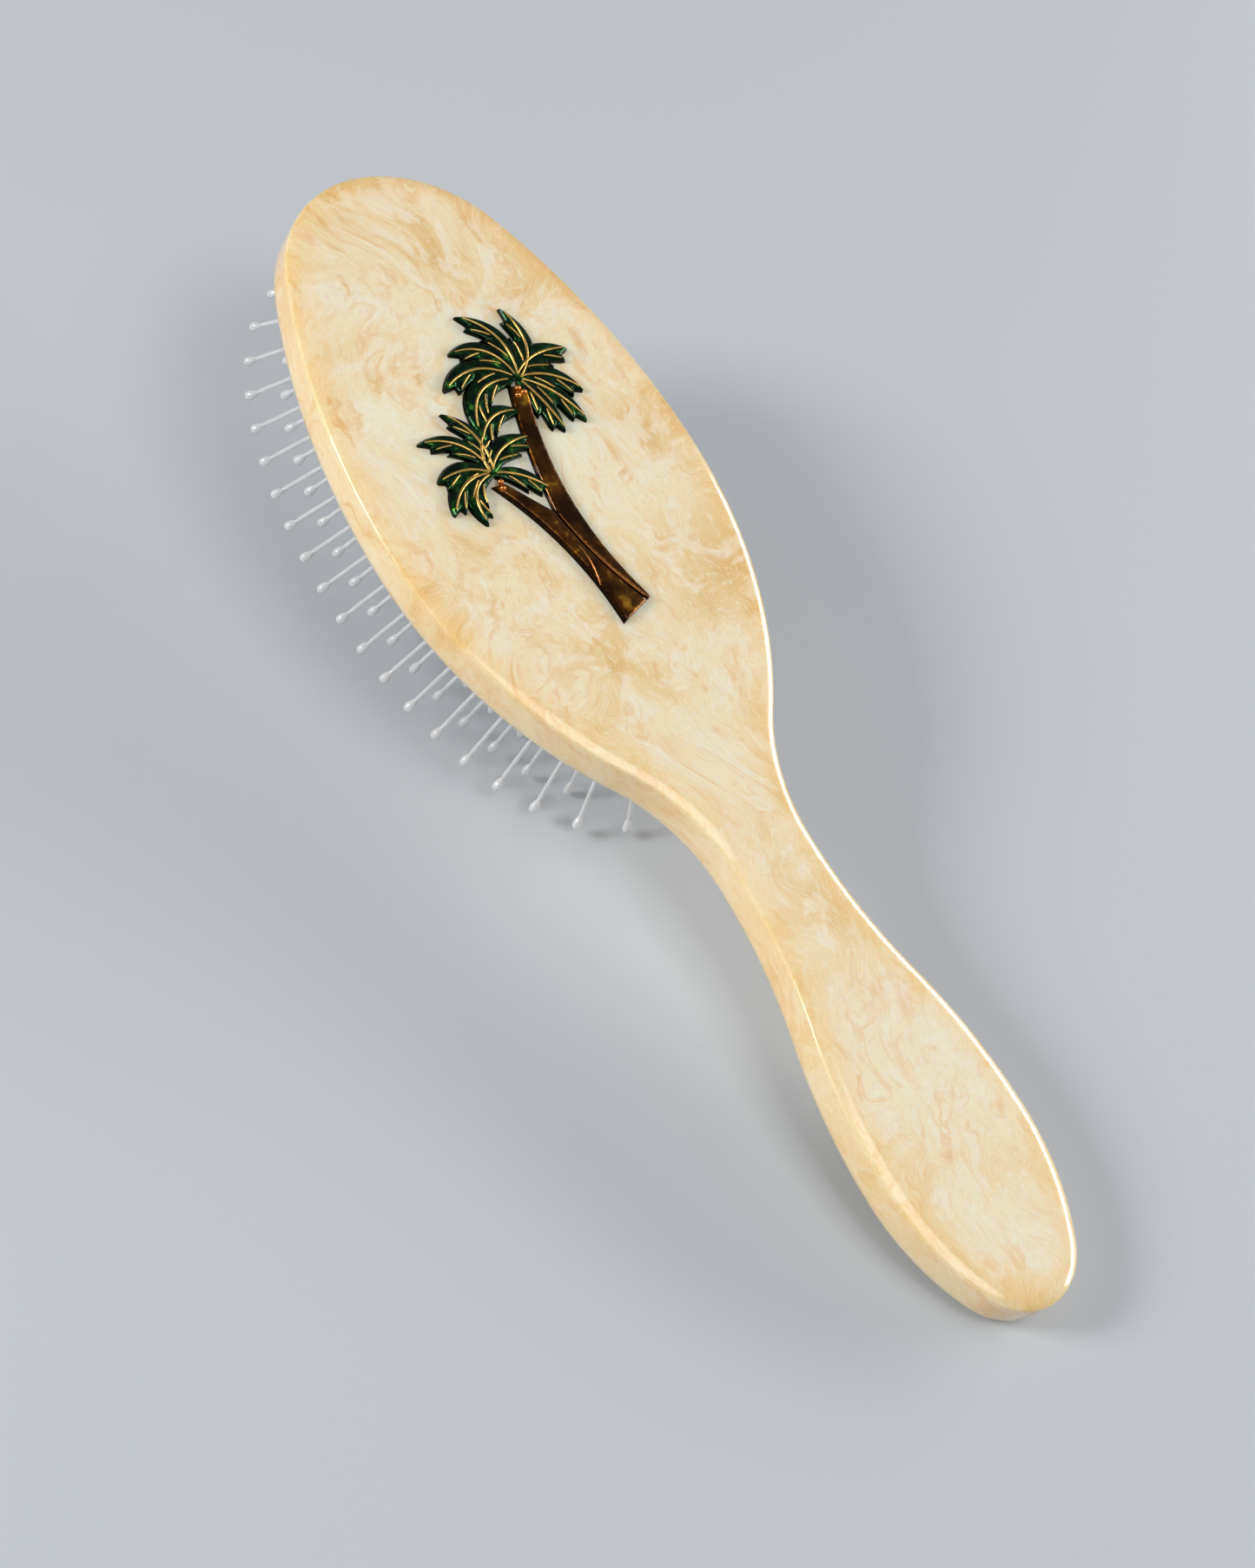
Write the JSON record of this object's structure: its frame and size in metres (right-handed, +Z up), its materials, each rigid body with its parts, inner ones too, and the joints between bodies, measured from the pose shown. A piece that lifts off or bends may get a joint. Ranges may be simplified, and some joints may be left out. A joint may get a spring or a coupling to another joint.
{
  "type": "hairbrush",
  "caption": "Flat oval hairbrush: waisted paddle handle, domed rubber air cushion, splayed ball-tipped pins, raised palm emblem inlaid in its back.",
  "frame": {"origin": "on the surface the brush rests on, under the middle of its bounding box", "axes": "+X from the head to the handle's end along the brush, +Z up; the brush stands at rest on its pins and on the end of its handle, so its flat back slopes down towards the handle"},
  "size_m": [0.2192, 0.0682, 0.0448],
  "materials": {
    "pearl_acetate": "polished pearl acetate, ivory with caramel swirls",
    "cushion_rubber": "matt ivory rubber",
    "nylon_pin": "near-clear nylon",
    "felt": "felt",
    "white_plastic": "satin",
    "eyelet_metal": "polished",
    "emblem_metal": "polished",
    "clear_glue": "clear film",
    "green_enamel": "glossy translucent dark green enamel",
    "brown_enamel": "glossy translucent brown enamel",
    "gold_wire": "polished gold plate",
    "copper_bead": "polished copper plate"
  },
  "bodies": {
    "handle": {"handle_body": "pearl_acetate", "emblem_glue_film": "clear_glue", "emblem_base_plate": "emblem_metal", "emblem_posts": "emblem_metal", "tall_crown_enamel": "green_enamel", "short_crown_enamel": "green_enamel", "tall_trunk_enamel": "brown_enamel", "short_trunk_enamel": "brown_enamel", "tall_crown_veins": "gold_wire", "short_crown_veins": "gold_wire", "trunk_seams": "gold_wire", "coconut_beads": "copper_bead", "cushion_liner": "felt", "cushion_frame": "white_plastic", "cushion_membrane": "cushion_rubber"},
    "pin_row_centre": {"pin_row_centre": "nylon_pin"},
    "pin_ring_1": {"pin_ring_1": "nylon_pin", "vent_eyelet": "eyelet_metal"},
    "pin_ring_2": {"pin_ring_2": "nylon_pin"},
    "pin_ring_3": {"pin_ring_3": "nylon_pin"},
    "pin_ring_4": {"pin_ring_4": "nylon_pin"}
  },
  "joints": [
    {"name": "cushion_press", "type": "slide", "parent": "handle", "child": "pin_row_centre", "axis": [0.1652, 0, 0.9863], "range_m": [0, 0.0036], "stiffness_N_per_m": 3000, "deforming": ["cushion_membrane"]},
    {"name": "pin_ring_1_press", "type": "slide", "parent": "handle", "child": "pin_ring_1", "axis": [0.1652, 0, 0.9863], "range_m": [0, 0.00193], "stiffness_N_per_m": 3000},
    {"name": "pin_ring_2_press", "type": "slide", "parent": "handle", "child": "pin_ring_2", "axis": [0.1652, 0, 0.9863], "range_m": [0, 0.00274], "stiffness_N_per_m": 3000},
    {"name": "pin_ring_3_press", "type": "slide", "parent": "handle", "child": "pin_ring_3", "axis": [0.1652, 0, 0.9863], "range_m": [0, 0.00324], "stiffness_N_per_m": 3000},
    {"name": "pin_ring_4_press", "type": "slide", "parent": "handle", "child": "pin_ring_4", "axis": [0.1652, 0, 0.9863], "range_m": [0, 0.00354], "stiffness_N_per_m": 3000}
  ],
  "couplings": [
    {"joint": "pin_ring_1_press", "follows": "cushion_press", "ratio": 0.509},
    {"joint": "pin_ring_2_press", "follows": "cushion_press", "ratio": 0.734},
    {"joint": "pin_ring_3_press", "follows": "cushion_press", "ratio": 0.871},
    {"joint": "pin_ring_4_press", "follows": "cushion_press", "ratio": 0.956}
  ]
}
